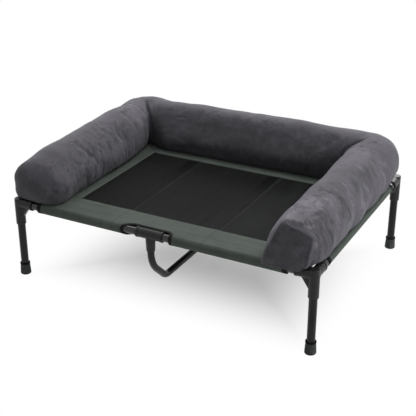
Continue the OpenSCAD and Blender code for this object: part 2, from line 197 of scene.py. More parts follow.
# Finishes
def velvet():
    """Charcoal plush: brushed pile that lies in light and dark patches, and short pile, with painted shade on the inner
    faces and front ends and painted highlights on the right arm's front top and round the rim of its front end.
    """
    fixed = {"Sheen Weight": 0.18, "Sheen Roughness": 0.35, "Sheen Tint": rgb(0.78, 0.76, 0.84)}
    fixed["Specular IOR Level"] = 0.1
    material, skin, place = finish("velvet", fixed)
    run = place.node("Attribute", {"attribute_name": "run"}, output="Vector")
    # This attribute holds the pile's way together with painted light: above 0 it is painted shade, below 0 painted
    # highlight.
    way = place.node("Attribute", {"attribute_name": "pile_and_painted_light"}, output="Fac")
    along, _, _ = run.axes()
    on_arms = abs(along).step(0.34, 0.46)
    cloud = run.noise(7.0, 2.0, 0.5, 0.4)
    strokes = run.stretched(42.0, 11.0, 11.0).noise(1.0, 3.0, 0.55, 0.6)
    crushed = run.stretched(24.0, 38.0, 38.0).noise(1.0, 4.0, 0.6, 0.9)
    brushed = crushed + (strokes - crushed) * on_arms
    smudge = run.stretched(30.0, 23.0, 23.0).noise(1.0, 3.0, 0.55, 0.9)
    fleck = run.noise(95.0, 3.0, 0.6, 0.5)
    pile = place.noise(1400.0, 1.0, 0.6)
    patch = cloud.step(0.42, 0.6)
    marks = brushed.step(0.42, 0.72) * 0.3 + smudge.step(0.54, 0.68) * 0.7 * patch + fleck.step(0.52, 0.7) * 0.2
    lean = way + 1.2 * (smudge - 0.5) + 0.6 * (brushed - 0.5) + 1.2 * (fleck - 0.5)
    # Dark takes in the random marks and the painted shade from the attribute.
    dark = (marks * (0.3 + 0.7 * patch)).most(lean.step(0.1, 1.0) * (0.1 + 1.2 * brushed))
    ground = cloud.step(0.3, 0.7).between(rgb(0.1, 0.096, 0.109), rgb(0.13, 0.124, 0.141))
    # Painted highlight where the attribute is below 0, mixed with random lighter pile.
    pile_lift_and_painted_highlight = (0.0 - lean).step(0.1, 1.0).between(ground, rgb(0.23, 0.222, 0.248))
    # One dark colour for the random marks and the painted shade.
    marked_and_painted_shade = dark.between(pile_lift_and_painted_highlight, rgb(0.05, 0.049, 0.055))
    worn = (pile.step(0.35, 0.75) * 0.25).between(marked_and_painted_shade, rgb(0.17, 0.165, 0.185))
    feed(skin["Base Color"], worn)
    feed(skin["Roughness"], 0.78 + 0.17 * pile)
    soft = (brushed + smudge * 0.6).bump(1.2 * MM, 0.22)
    feed(skin["Normal"], pile.bump(0.5 * MM, 0.5, soft))
    return material


def plain_weave(cut, pitch):
    """Height of a plain weave: threads that pass over and under each other."""
    along, across, _ = cut.axes()
    turn = math.pi / pitch
    return (along * turn).sine() * (across * turn).sine()


def fold_lines(x, half, folds=FOLDS):
    """1 along the middle of each fold from the box, and 0 beyond a half width."""
    first, second = (1.0 - abs(x - fold).step(0.3 * half, half) for fold in folds)
    return first.most(second)


def border_cloth():
    """Sage grey coated polyester, with a fine weave, faint streaks, handling marks, and painted shade along the fold
    lines.
    """
    material, skin, place = finish("border cloth", {"Specular IOR Level": 0.08})
    cut = place.node("Attribute", {"attribute_name": "cut"}, output="Vector")
    x, _, _ = place.axes()
    weave = plain_weave(cut, 1.1 * MM)
    streak = cut.stretched(4.0, 60.0, 1.0).noise(1.0, 3.0, 0.6)
    cloud = cut.noise(14.0, 3.0, 0.6, 0.6)
    tone = streak.step(0.3, 0.75) * 0.5 + cloud.step(0.3, 0.7) * 0.5
    cloth = tone.between(rgb(0.083, 0.1, 0.087), rgb(0.126, 0.146, 0.128))
    # Painted shade: dark lines along the folds from the box.
    folded = fold_lines(x, 2 * MM).most(fold_lines(x, 2 * MM, SIDE_FOLDS) * cloud.step(0.3, 0.6))
    crease_painted_shade = (folded * 0.45).between(cloth, rgb(0.03, 0.036, 0.031))
    threads = (weave.step(-1.0, 0.2) * 0.75 + 0.25).between(rgb(0.047, 0.056, 0.049), crease_painted_shade)
    feed(skin["Base Color"], threads)
    feed(skin["Roughness"], 0.62 + 0.2 * cloud - 0.08 * weave)
    rumple = (cloud + streak * 0.4).bump(1.2 * MM, 0.35)
    feed(skin["Normal"], weave.bump(0.22 * MM, 0.6, rumple))
    return material


def mesh_cloth():
    """Black woven mesh: coated strands with a small dark gap between them, painted sheen over the right part, painted
    highlights beside the folds, and painted shade along and beside the folds.
    """
    material, skin, place = finish("mesh cloth", {"Specular IOR Level": 0.04})
    cut = place.node("Attribute", {"attribute_name": "cut"}, output="Vector")
    along, across, _ = cut.axes()
    pitch = 1.9 * MM
    strand_x = abs((along * (math.pi / pitch)).sine())
    strand_y = abs((across * (math.pi / pitch)).sine())
    over = plain_weave(cut, pitch)
    strands = strand_x.most(strand_y)
    streak = cut.stretched(70.0, 2.5, 1.0).noise(1.0, 4.0, 0.6)
    cloud = cut.noise(5.0, 2.0, 0.5, 0.5)
    # Painted sheen: the right part of the mesh is lighter, in streaks.
    painted_sheen_mask = (along + 0.1 * cloud).step(0.14, 0.3) * streak.step(0.4, 0.6)
    tone = streak.step(0.35, 0.7) * 0.6 + cloud.step(0.35, 0.65) * 0.4
    plain = tone.between(rgb(0.008, 0.0082, 0.0082), rgb(0.0155, 0.0158, 0.0157))
    painted_sheen = (painted_sheen_mask * 0.4).between(plain, rgb(0.022, 0.027, 0.0245))
    # Painted highlight: lighter streaks just beside each fold.
    fold_painted_highlight = (fold_lines(along - 8 * MM, 7 * MM) * streak.step(0.3, 0.6) * 0.5).between(painted_sheen, rgb(0.035, 0.037, 0.036))
    # Painted shade: dark wedges beside the folds toward the back, and dark lines along the folds and the side folds.
    beside = fold_lines(along + 20 * MM, 28 * MM) * across.step(-0.08, 0.16)
    second = fold_lines(along, 2.4 * MM, SIDE_FOLDS) * 0.6
    folded = (fold_lines(along, 3 * MM) * 0.9).most(beside * 0.85).most(second)
    crease_painted_shade = folded.between(fold_painted_highlight, rgb(0.003, 0.0032, 0.0031))
    feed(skin["Base Color"], strands.step(0.45, 0.8).between(rgb(0.004, 0.004, 0.004), crease_painted_shade))
    feed(skin["Roughness"], 0.55 + 0.25 * tone)
    feed(skin["Normal"], (strands + 0.5 * over).bump(0.35 * MM, 0.7))
    return material


def binding_tape():
    """Black folded grosgrain tape with fine cross ribs."""
    material, skin, place = finish("binding tape", {"Specular IOR Level": 0.06})
    cut = place.node("Attribute", {"attribute_name": "cut"}, output="Vector")
    along, across, _ = cut.axes()
    ribs = ((along + across) * (math.pi / (0.8 * MM))).sine()
    fuzz = place.noise(420.0, 3.0, 0.6)
    tone = ribs.step(-0.9, 0.6) * 0.6 + fuzz * 0.4
    feed(skin["Base Color"], tone.between(rgb(0.007, 0.0075, 0.007), rgb(0.021, 0.022, 0.0215)))
    feed(skin["Roughness"], 0.6 + 0.2 * fuzz)
    feed(skin["Normal"], ribs.bump(0.25 * MM, 0.6))
    return material


def thread(name, low, high):
    """Twisted sewing thread."""
    material, skin, place = finish(name, {"Specular IOR Level": 0.3})
    twist = place.noise(1500.0, 2.0, 0.5)
    feed(skin["Base Color"], twist.step(0.3, 0.7).between(low, high))
    feed(skin["Roughness"], 0.55 + 0.2 * twist)
    return material


def powder_coat():
    """Black powder coat on steel tube: a satin with a faint orange peel, polished on the rails by the sleeves."""
    fixed = {"Coat Roughness": 0.07, "Specular IOR Level": 0.1}
    material, skin, place = finish("powder coat", fixed)
    _, _, height = place.axes()
    rails = height.step(RAIL_Z - 18 * MM, RAIL_Z - 12 * MM)
    peel = place.noise(330.0, 2.0, 0.5)
    rub = place.stretched(30.0, 30.0, 9.0).noise(1.0, 4.0, 0.65)
    scuff = rub.step(0.58, 0.72)
    feed(skin["Base Color"], (scuff * 0.5).between(rgb(0.0065, 0.0068, 0.007), rgb(0.024, 0.025, 0.026)))
    feed(skin["Roughness"], 0.36 + 0.1 * scuff + 0.06 * peel)
    feed(skin["Coat Weight"], 0.26 + 0.46 * rails - 0.18 * scuff)
    feed(skin["Normal"], peel.bump(0.12 * MM, 0.35))
    return material


def moulded_plastic():
    """Black moulded plastic with a fine spark texture and a little shine where it is worn."""
    material, skin, place = finish("moulded plastic", {"Specular IOR Level": 0.22})
    grain = place.noise(1100.0, 2.0, 0.6)
    rub = place.noise(55.0, 4.0, 0.6, 0.8)
    worn = rub.step(0.52, 0.7)
    feed(skin["Base Color"], (worn * 0.6).between(rgb(0.0165, 0.017, 0.017), rgb(0.036, 0.037, 0.0365)))
    feed(skin["Roughness"], 0.33 - 0.08 * worn + 0.1 * grain)
    feed(skin["Normal"], grain.bump(0.16 * MM, 0.4))
    return material


def foot_rubber():
    """Dark grey rubber, dusty towards the floor, with a blacker rim."""
    material, skin, place = finish("foot rubber", {"Specular IOR Level": 0.1})
    _, _, height = place.axes()
    grain = place.noise(700.0, 3.0, 0.6)
    cloud = place.noise(90.0, 3.0, 0.6)
    dust = (1.0 - height.step(2 * MM, 20 * MM)) * cloud.step(0.35, 0.7)
    rim = height.step(36.6 * MM, 37.2 * MM)
    body = cloud.step(0.3, 0.7).between(rgb(0.05, 0.052, 0.052), rgb(0.07, 0.073, 0.073))
    dusty = (dust * 0.35).between(body, rgb(0.11, 0.108, 0.1))
    feed(skin["Base Color"], rim.between(dusty, rgb(0.009, 0.0095, 0.0095)))
    feed(skin["Roughness"], 0.72 + 0.15 * cloud)
    feed(skin["Normal"], grain.bump(0.2 * MM, 0.45))
    return material


VELVET = velvet()
BORDER = border_cloth()
MESH = mesh_cloth()
TAPE = binding_tape()
SAGE_THREAD = thread("sage thread", rgb(0.045, 0.054, 0.047), rgb(0.085, 0.1, 0.088))
BLACK_THREAD = thread("black thread", rgb(0.01, 0.01, 0.01), rgb(0.03, 0.031, 0.03))
POWDER = powder_coat()
PLASTIC = moulded_plastic()
RUBBER = foot_rubber()


# Camera and studio
CAMERA_AIM = Vector((-0.0497, 0.0590, 0.1620))
CAMERA_TURN = math.radians(27.77)
CAMERA_DROP = math.radians(24.95)
CAMERA_AWAY = 3.168
CAMERA_LENS = 79.0
FLOOR_LIFT = 0.2


def add_camera():
    data = bpy.data.cameras.new("camera")
    data.lens = CAMERA_LENS
    data.sensor_width = 36.0
    camera = bpy.data.objects.new("camera", data)
    flat = math.cos(CAMERA_DROP)
    back = Vector((math.sin(CAMERA_TURN) * flat, -math.cos(CAMERA_TURN) * flat, math.sin(CAMERA_DROP)))
    camera.location = CAMERA_AIM + back * CAMERA_AWAY
    camera.rotation_euler = (-back).to_track_quat("-Z", "Y").to_euler()
    scene.collection.objects.link(camera)
    scene.camera = camera


def soft_lamp(name, place, aim, size, power):
    data = bpy.data.lights.new(name, "AREA")
    data.shape = "RECTANGLE"
    data.size, data.size_y = size
    data.energy = power
    lamp = bpy.data.objects.new(name, data)
    lamp.location = place
    lamp.rotation_euler = (Vector(aim) - Vector(place)).to_track_quat("-Z", "Y").to_euler()
    scene.collection.objects.link(lamp)


def seen_rays(tap):
    """1 for rays from the camera, and for those that a gloss or a clear piece sends on."""
    path = tap.node("LightPath").socket.node
    camera, glossy, through = (
        Tap(path.outputs[name]) for name in ("Is Camera Ray", "Is Glossy Ray", "Is Transmission Ray")
    )
    return camera.most(glossy).most(through)


def add_world(ambient):
    world = bpy.data.worlds.new("studio")
    scene.world = world
    world.use_nodes = True
    background = world.node_tree.nodes["Background"]
    background.inputs["Color"].default_value = rgb(1.0, 1.0, 1.0)
    seen = seen_rays(Tap(world.node_tree.nodes.new("ShaderNodeTexCoord").outputs["Object"]))
    feed(background.inputs["Strength"], ambient + (1.0 - ambient) * seen)


def add_floor(radius):
    """Pale floor that keeps the cot's shadow and turns plain white further out."""
    bm = bmesh.new()
    bmesh.ops.create_circle(bm, cap_ends=True, segments=96, radius=radius)
    mesh = bpy.data.meshes.new("floor")
    bm.to_mesh(mesh)
    bm.free()
    floor = bpy.data.objects.new("floor", mesh)
    scene.collection.objects.link(floor)
    fixed = {"Roughness": 0.9, "Specular IOR Level": 0.0, "Emission Strength": 1.0}
    material, sockets, place = finish("pale floor", fixed)
    tree = material.node_tree
    seen = seen_rays(place)
    sockets["Base Color"].default_value = rgb(0.82, 0.82, 0.82)
    feed(sockets["Emission Color"], seen.between(rgb(0.0, 0.0, 0.0), rgb(FLOOR_LIFT, FLOOR_LIFT, FLOOR_LIFT)))
    x, y, _ = place.axes()
    outside = (abs(x) - LEG_X).most(abs(y) - LEG_Y)
    white = place.node("Emission", None, {"Color": rgb(1.0, 1.0, 1.0), "Strength": 1.0})
    lit = Tap(tree.nodes["Principled BSDF"].outputs[0])
    share = outside.step(-0.36, 0.04) * seen
    mixed = place.node("MixShader", None, {0: share, 1: lit, 2: white})
    feed(tree.nodes["Material Output"].inputs["Surface"], mixed)
    mesh.materials.append(material)


add_camera()
add_world(0.23)
add_floor(9.0)
soft_lamp("back_wall", (0.0, 2.3, 1.5), (0.0, 0.0, 0.3), (2.0, 1.4), 45.0)
soft_lamp("right_wall", (2.2, 0.0, 0.6), (0.2, 0.0, 0.3), (1.6, 1.0), 15.0)
soft_lamp("left_wall", (-2.2, 0.3, 1.1), (0.0, 0.0, 0.3), (1.6, 1.2), 24.0)
soft_lamp("overhead", (0.7, 0.3, 2.3), (0.0, 0.1, 0.2), (1.4, 1.4), 19.0)
soft_lamp("strip", (-1.1, 0.5, 2.0), (0.0, -0.3, 0.26), (0.9, 0.2), 5.0)


# Pieces
def in_order(bm):
    """Sorts a shape's elements by place, because spin leaves them in another order each run."""
    places = (
        (bm.verts, lambda vert: vert.co),
        (bm.edges, lambda edge: edge.verts[0].co + edge.verts[1].co),
        (bm.faces, lambda face: face.calc_center_median()),
    )
    for elements, place in places:
        ordered = sorted(elements, key=lambda element: [round(v, 6) for v in place(element)])
        rank = {element: number for number, element in enumerate(ordered)}
        elements.sort(key=rank.get)
        elements.index_update()


def add_piece(name, bm, material, body, smooth=True):
    """Makes a finished mesh a piece that rides on a body."""
    in_order(bm)
    mesh = bpy.data.meshes.new(name)
    bm.to_mesh(mesh)
    bm.free()
    return add_mesh(name, mesh, material, body, smooth)


def add_mesh(name, mesh, material, body, smooth=True):
    mesh.materials.clear()
    mesh.materials.append(material)
    mesh.polygons.foreach_set("use_smooth", [smooth] * len(mesh.polygons))
    piece = bpy.data.objects.new(name, mesh)
    scene.collection.objects.link(piece)
    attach(piece, body)
    return piece


def evaluated(piece):
    """A new mesh of a piece with its modifiers applied."""
    return bpy.data.meshes.new_from_object(piece.evaluated_get(bpy.context.evaluated_depsgraph_get()))


# Bolster
FILLS = ["bolster_left_fill", "bolster_back_fill", "bolster_right_fill"]
SKINS = ["bolster_left_cover", "bolster_back_cover", "bolster_right_cover"]
SKINS += ["bolster_left_end", "bolster_right_end", "bolster_base"]
VOXEL = 6 * MM
SWELL_FRAMES = 20
SWELL_CAP = 10 * MM
CORNER_MID_R = 95 * MM
SLACK = 3 * MM
SAG = 13 * MM
END_MID_Z = BOLSTER_Z + 63 * MM

# Sewn outlines of the arms' front ends: directions and distances of their sides from their middles
LEFT_END = [(0, 84 * MM), (90, 62 * MM), (180, 76 * MM), (270, 67 * MM)]
RIGHT_END = [(-9, 58 * MM), (73, 53 * MM), (155, 61 * MM), (270, 70 * MM), (320, 72 * MM)]


def on_mitre(face):
    """True for the walls between the fills, which lie across the back corners."""
    for side in (-1, 1):
        across = Vector((-side, 1, 0)).normalized()
        from_crease = face.calc_center_median() - Vector((side * CREASE_X, CREASE_Y, 0))
        if abs(from_crease.dot(across)) < 0.5 * MM and abs(face.normal.dot(across)) > 0.99:
            return True
    return False


def stuffed_form():
    """The three fills in one closed skin, remeshed evenly."""
    bm = bmesh.new()
    for name in FILLS:
        bm.from_mesh(nodes[name].data)
    bmesh.ops.remove_doubles(bm, verts=bm.verts, dist=0.02 * MM)
    bmesh.ops.delete(bm, geom=[f for f in bm.faces if on_mitre(f)], context="FACES")
    mesh = bpy.data.meshes.new("bolster_form")
    bm.to_mesh(mesh)
    bm.free()
    form = bpy.data.objects.new("bolster_form", mesh)
    scene.collection.objects.link(form)
    remesh = form.modifiers.new("even", "REMESH")
    remesh.mode = "VOXEL"
    remesh.voxel_size = VOXEL
    even = evaluated(form)
    bpy.data.objects.remove(form)
    return even


def points_of(mesh):
    co = np.zeros(len(mesh.vertices) * 3)
    mesh.vertices.foreach_get("co", co)
    return co.reshape(-1, 3)


def normals_of(mesh):
    no = np.zeros(len(mesh.vertices) * 3)
    mesh.vertices.foreach_get("normal", no)
    return no.reshape(-1, 3)


def put_points(mesh, co):
    mesh.vertices.foreach_set("co", co.ravel())
    mesh.update()


def rise(x, low, high):
    """0 at low and 1 at high, with a smooth rise between; low may be above high."""
    t = np.clip((x - low) / (high - low), 0, 1)
    return t * t * (3 - 2 * t)


def run_of(co):
    """Places along the bolster, across it and up: the U drawn out straight from the back's middle."""
    side = np.where(co[:, 0] < 0, -1.0, 1.0)
    out = np.abs(co[:, 0]) - CREASE_X
    behind = co[:, 1] - CREASE_Y
    turn = np.arctan2(np.maximum(behind, 0), np.maximum(out, 0) + 1e-9)
    quarter = math.pi / 2 * CORNER_MID_R
    along_arm = CREASE_X + quarter - behind
    along_corner = CREASE_X + quarter - turn * CORNER_MID_R
    along_back = np.abs(co[:, 0])
    on_arm, on_back = behind <= 0, (behind > 0) & (out <= 0)
    along = np.where(on_arm, along_arm, np.where(on_back, along_back, along_corner))
    reach = np.where(on_arm, out, np.where(on_back, behind, np.hypot(out, behind)))
    return np.stack([side * along, reach, co[:, 2]], axis=1)


def soft_reach(angle, sides, crisp_top, crisp_base):
    """Distance from a centre to a polygon with rounded corners; its sides are (direction, distance)."""
    crisp = np.where(angle > 0, crisp_top, crisp_base)
    total = np.zeros_like(angle)
    for way, far in sides:
        total += (np.maximum(0, np.cos(angle - math.radians(way))) / far) ** crisp
    return total ** (-1 / crisp)


def outline_of(angle, reach, picked):
    """Greatest reach of the picked points in each direction, for every point's direction."""
    bins = 60
    slot = np.floor((angle + math.pi) / (2 * math.pi) * bins).astype(int) % bins
    most = np.array([reach[picked & (slot == i)].max(initial=1 * MM) for i in range(bins)])
    middles = (np.arange(bins) + 0.5) / bins * 2 * math.pi - math.pi
    return np.interp(angle, middles, most, period=2 * math.pi)


def shape_ends(co):
    """Gives each arm's front end its sewn outline: round and leaning back on the left, square on the right."""
    co = co.copy()
    side = np.sign(co[:, 0])
    across = co[:, 0] * side - (BOLSTER_X - ARM_W / 2)
    up = co[:, 2] - END_MID_Z
    angle, reach = np.arctan2(up, across), np.hypot(across, up)
    on_arm = across > -ARM_W / 2 - INNER_R
    for hand, sides, crisp_top, crisp_base in ((-1, LEFT_END, 2.3, 4.0), (1, RIGHT_END, 9.0, 9.0)):
        mine = on_arm & (side == hand)
        blend = 150 * MM if hand < 0 else 110 * MM
        near = rise(co[:, 1], ARM_FRONT + blend, ARM_FRONT + 2 * MM)
        sewn = soft_reach(angle, sides, crisp_top, crisp_base)
        ratio = sewn / outline_of(angle, reach, mine & (near > 0.98))
        grow = np.where(mine, 1 + near * (ratio - 1), 1)
        dome = np.clip(1 - (reach / sewn) ** 2, 0, 1)
        high = np.clip(up / (ARM_TOP - END_MID_Z), -1, 1)
        if hand < 0:
            lean = 24 * MM + 4 * MM * high + 24 * MM * np.maximum(high, 0) ** 1.6 - 14 * MM * dome
        else:
            lean = 2 * MM + 4 * MM * high - 8 * MM * dome
        droop = rise(co[:, 1], ARM_FRONT + 190 * MM, ARM_FRONT + 20 * MM) * np.clip(-high, 0, 1)
        spread = np.where(mine & (across > 0), droop * 6 * MM * across / (ARM_W / 2), 0)
        across, up = across * grow + spread, up * grow
        co[:, 1] += np.where(mine, near * lean, 0)
    co[:, 0] = side * (across + BOLSTER_X - ARM_W / 2)
    co[:, 2] = up + END_MID_Z
    return co


def held_places(co):
    """How firmly each point is held while the cover swells: at the base, the creases and the end seams."""
    base = rise(co[:, 2], BOLSTER_Z + 16 * MM, BOLSTER_Z + 4 * MM)
    from_crease = np.hypot(np.abs(co[:, 0]) - CREASE_X, co[:, 1] - CREASE_Y)
    crease = rise(from_crease, 30 * MM, 12 * MM)
    ends = rise(co[:, 1], ARM_FRONT + 14 * MM, ARM_FRONT + 4 * MM) * (co[:, 0] > 0)
    return np.clip(base + crease + 0.8 * ends, 0, 1)


def slacken(mesh):
    """Draws the form in by the slack that its swelling takes up, except where it is held."""
    co = points_of(mesh)
    free = 1 - held_places(co)
    free *= rise(mitre_distance(co), 40 * MM, 150 * MM) * rise(co[:, 1], ARM_FRONT + 30 * MM, ARM_FRONT + 140 * MM)
    put_points(mesh, co - normals_of(mesh) * (SLACK * free)[:, None])


def swell(mesh):
    """Blows the cover up against its seams, as stuffing does."""
    form = bpy.data.objects.new("bolster_swell", mesh)
    scene.collection.objects.link(form)
    start = points_of(mesh)
    held = form.vertex_groups.new(name="held")
    for index, weight in enumerate(held_places(start)):
        if weight > 0.01:
            held.add([index], float(weight), "REPLACE")
    cloth = form.modifiers.new("cloth", "CLOTH")
    settings = cloth.settings
    settings.quality = 5
    settings.mass = 0.25
    settings.tension_stiffness = 18
    settings.compression_stiffness = 12
    settings.shear_stiffness = 6
    settings.bending_stiffness = 0.4
    settings.use_pressure = True
    settings.uniform_pressure_force = 4
    settings.shrink_min = -0.012
    settings.vertex_group_mass = "held"
    settings.effector_weights.gravity = 0
    cloth.point_cache.frame_end = SWELL_FRAMES
    for number in range(1, SWELL_FRAMES + 1):
        scene.frame_set(number)
    swollen = points_of(evaluated(form))
    scene.frame_set(1)
    bpy.data.objects.remove(form)
    move = swollen - start
    far = np.linalg.norm(move, axis=1, keepdims=True)
    put_points(mesh, start + move * np.minimum(1, SWELL_CAP / np.maximum(far, 1e-9)))


def ease(mesh):
    """Evens out the small creases that swelling leaves on the left end, the back and the right arm."""
    bm = bmesh.new()
    bm.from_mesh(mesh)
    above = [vert for vert in bm.verts if vert.co.z > BOLSTER_Z + 8 * MM]
    left_end = [vert for vert in above if vert.co.x < 0 and vert.co.y < ARM_FRONT + 110 * MM]
    right_arm = [vert for vert in above if vert.co.x > CREASE_X and vert.co.y > ARM_FRONT + 40 * MM]
    back = [vert for vert in above if vert.co.y > CREASE_Y - 20 * MM and abs(vert.co.x) < CREASE_X + 40 * MM]
    for picked, times in ((left_end, 14), (right_arm, 8), (back, 8)):
        for _ in range(times):
            bmesh.ops.smooth_vert(bm, verts=picked, factor=0.5, use_axis_x=True, use_axis_y=True, use_axis_z=True)
    bm.to_mesh(mesh)
    bm.free()


def finer(mesh):
    """The same form with each face split in four and smoothed."""
    form = bpy.data.objects.new("bolster_finer", mesh)
    scene.collection.objects.link(form)
    smooth = form.modifiers.new("smooth", "SUBSURF")
    smooth.levels = smooth.render_levels = 1
    fine = evaluated(form)
    bpy.data.objects.remove(form)
    return fine


def mitre_distance(co):
    """How far each point is from the seam plane across its back corner."""
    return np.abs((co[:, 1] - CREASE_Y) - (np.abs(co[:, 0]) - CREASE_X)) / math.sqrt(2)


def corner_pull(co):
    """Depth of the valley that the seam pulls into each inner corner, up to the crown."""
    run = run_of(co)
    behind = np.minimum(np.abs(co[:, 0]) - CREASE_X, co[:, 1] - CREASE_Y)
    away = mitre_distance(co)
    inner = rise(run[:, 1], 120 * MM, 40 * MM) * rise(behind, -40 * MM, -5 * MM)
    return inner * (13 * MM * np.exp(-(away / (5.5 * MM)) ** 2) + 6 * MM * np.exp(-(away / (26 * MM)) ** 2))


def lumps(co, seed, count, length):
    """Uneven filling: a sum of gentle waves of about one length, from -1 to 1."""
    rng = np.random.default_rng(seed)
    total = np.zeros(len(co))
    for _ in range(count):
        way = rng.normal(size=3)
        way *= 2 * math.pi / (np.linalg.norm(way) * length * rng.uniform(0.7, 1.4))
        total += np.sin(co @ way + rng.uniform(0, 2 * math.pi))
    return total / math.sqrt(count)


def wrinkles(co, normal, where, seed, count, long, wide, deep, slant):
    """Depth of short creases at random places of an area, each slanted from the bolster's length."""
    rng = np.random.default_rng(seed)
    depth = np.zeros(len(co))
    spots = np.flatnonzero(where)
    along = np.zeros_like(co)
    on_arm = co[:, 1] < CREASE_Y
    along[:, 1] = on_arm
    along[:, 0] = ~on_arm
    for spot in rng.choice(spots, count):
        tangent = along[spot] - normal[spot] * (along[spot] @ normal[spot])
        tangent /= np.linalg.norm(tangent)
        across = np.cross(normal[spot], tangent)
        angle = math.radians(slant + rng.normal() * 16)
        way = tangent * math.cos(angle) + across * math.sin(angle)
        half = long * rng.uniform(0.5, 1.1) / 2
        bend = rng.uniform(-0.25, 0.25)
        offset = co - co[spot]
        t = offset @ way / half
        side = offset @ np.cross(normal[spot], way) - bend * half * t * t
        up = offset @ normal[spot]
        taper = np.clip(1 - t * t, 0, 1)
        facing = rise(normal @ normal[spot], 0.35, 0.75)
        near = np.exp(-(side / wide) ** 2 - (up / (14 * MM)) ** 2) * facing * taper
        depth = np.maximum(depth, near * deep * rng.uniform(0.6, 1.1))
    return depth


# How full the bolster is stuffed: places along it from the back's middle, and how far the cover stands out
FULLNESS = [
    (-1.12, 5.0), (-0.95, 4.0), (-0.8, 6.0), (-0.66, 11.0), (-0.58, 13.0), (-0.52, 13.0), (-0.46, 6.0),
    (-0.4, -1.0), (-0.34, -6.0), (-0.26, -6.0), (-0.1, -3.0), (0.0, -2.0), (0.25, 0.0), (0.38, 4.0), (0.45, 7.0),
    (0.52, 4.0), (0.66, 4.0), (0.82, 5.0), (0.98, 3.0), (1.12, 0.0),
]


def fullness(run, clear):
    places, amounts = zip(*FULLNESS)
    return clear * np.interp(run[:, 0], places, amounts) * MM


def spread_low(co, run):
    """Weight of the filling: the low sides bulge over the sling inside, and over the sleeves outside."""
    side = np.sign(co[:, 0])
    away = rise(mitre_distance(co), 10 * MM, 60 * MM)
    from_end = rise(co[:, 1], ARM_FRONT + 5 * MM, ARM_FRONT + 70 * MM)
    low = rise(co[:, 2], BOLSTER_Z + 115 * MM, BOLSTER_Z + 25 * MM)
    on_arm = co[:, 1] < CREASE_Y
    inner = low * away * from_end * rise(run[:, 1], 75 * MM, 15 * MM)
    outer = low * away * from_end * on_arm * rise(run[:, 1], ARM_W - 60 * MM, ARM_W)
    moved = co.copy()
    left_foot = np.interp(co[:, 1], (-300 * MM, 50 * MM, 180 * MM), (18 * MM, 10 * MM, -6 * MM))
    moved[:, 0] -= side * on_arm * inner * np.where(side < 0, left_foot, 18 * MM)
    from_crease = np.hypot(co[:, 0] + CREASE_X, co[:, 1] - CREASE_Y)
    moved[:, 0] -= 14 * MM * np.exp(-(from_crease / (80 * MM)) ** 2)
    moved[:, 1] -= ~on_arm * inner * np.interp(co[:, 0], (-CREASE_X, CREASE_X), (26 * MM, 8 * MM))
    scallop = 1 + 0.25 * np.sin(run[:, 0] * 2 * math.pi / (150 * MM) + 0.8)
    moved[:, 0] += side * outer * 6 * MM * scallop
    moved[:, 2] -= outer * 4 * MM * scallop
    return moved


def end_seam(co, front):
    """How close each point is to the seam round the right arm's end panel, from 0 to 1."""
    near = rise(co[:, 1], ARM_FRONT + 34 * MM, ARM_FRONT + 12 * MM) * (co[:, 0] > 0)
    return near * np.exp(-((front - 0.62) / 0.2) ** 2)


def open_corner(co):
    """1 over the middle of the open corners between a connector's arms and the sling, fading to 0."""
    from_leg_x = LEG_X - np.abs(co[:, 0])
    from_leg_y = LEG_Y - np.abs(co[:, 1])
    inside = rise(np.minimum(from_leg_x, from_leg_y), 7 * MM, 19 * MM)
    return inside * rise(np.maximum(from_leg_x, from_leg_y), CORNER_EDGE + 4 * MM, CORNER_EDGE - 16 * MM)


def sling_top(co):
    """Height of what the bolster lies on: the connectors and bare tubes near the legs, and the sling."""
    from_leg_x = LEG_X - np.abs(co[:, 0])
    from_leg_y = LEG_Y - np.abs(co[:, 1])
    from_rail = np.minimum(np.abs(from_leg_x), np.abs(from_leg_y))
    connector = (from_rail < 19.5 * MM) & (np.maximum(from_leg_x, from_leg_y) < 66 * MM)
    tube = RAIL_Z + np.sqrt(np.maximum(0, (13.5 * MM) ** 2 - from_rail ** 2))
    tube = np.where(from_rail > 13.5 * MM, RAIL_Z - 20 * MM, tube)
    cut_away = (from_leg_x < CORNER_EDGE) & (from_leg_y < CORNER_EDGE)
    sleeve_r = SLEEVE_R + 1.5 * MM
    beside = np.clip(np.maximum(-from_leg_x, -from_leg_y) / sleeve_r, 0, 1)
    sleeve = RAIL_Z + sleeve_r * np.sqrt(1 - beside ** 2)
    cloth = np.where(cut_away, tube, np.minimum(sleeve, SHEET_TOP + 0.8 * MM))
    return np.where(connector & (beside < 1), BOLSTER_Z, cloth)


